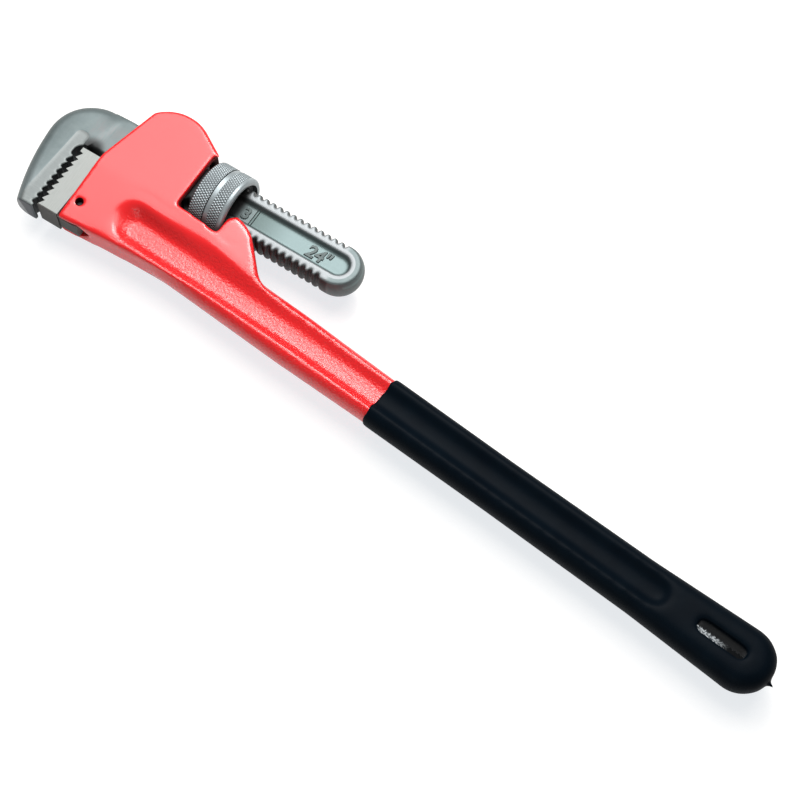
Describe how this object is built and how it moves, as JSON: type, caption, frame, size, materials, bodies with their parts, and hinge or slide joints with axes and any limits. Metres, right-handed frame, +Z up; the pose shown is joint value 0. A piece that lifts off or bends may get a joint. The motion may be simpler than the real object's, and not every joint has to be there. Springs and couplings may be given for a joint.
{
  "type": "pipe wrench",
  "caption": "Straight pipe wrench with a toothed hook jaw, threaded shank, knurled adjusting nut, pinned heel jaw and vinyl-gripped I-section handle.",
  "frame": {"origin": "centre of the underside of the object's box, with the jaws closed to 2.4 mm between the tooth tips", "axes": "+X along the shank, from the jaws towards the handle end; +Y towards the back of the head, away from the handle; +Z up, square to the broad faces"},
  "size_m": [0.6026, 0.1474, 0.05],
  "materials": {
    "red_paint": "gloss red enamel over as-cast ductile iron",
    "black_vinyl": "satin dipped vinyl",
    "ground_steel": "hardened and ground",
    "pin_steel": "plain",
    "forged_steel": "forged, phosphate grey, teeth and pad ground",
    "nut_steel": "turned and knurled",
    "spring_steel": "oil tempered"
  },
  "bodies": {
    "handle": {"handle_casting": "red_paint", "grip_sleeve": "black_vinyl", "heel_jaw": "ground_steel", "heel_jaw_pin": "pin_steel", "coil_spring": "spring_steel"},
    "carrier": {"flat_spring": "spring_steel"},
    "hook_jaw": {"hook_jaw": "forged_steel"},
    "adjusting_nut": {"adjusting_nut": "nut_steel"}
  },
  "joints": [
    {"name": "jaw_rock", "type": "hinge", "parent": "handle", "child": "carrier", "pos_m": [-0.17274, 0.03632, 0.025], "axis": [0, 0, -1], "range_deg": [0, 3.5], "stiffness_Nm_per_rad": 38, "springref_deg": -4.98},
    {"name": "jaw_slide", "type": "slide", "parent": "carrier", "child": "hook_jaw", "axis": [-1, 0, 0], "range_m": [-0.002, 0.076]},
    {"name": "nut_spin", "type": "hinge", "parent": "carrier", "child": "adjusting_nut", "pos_m": [-0.17274, 0.03632, 0.025], "axis": [1, 0, 0], "range_deg": [-140, 4990]}
  ],
  "couplings": [
    {"joint": "nut_spin", "follows": "jaw_slide", "rad_per_m": 1142.4}
  ]
}
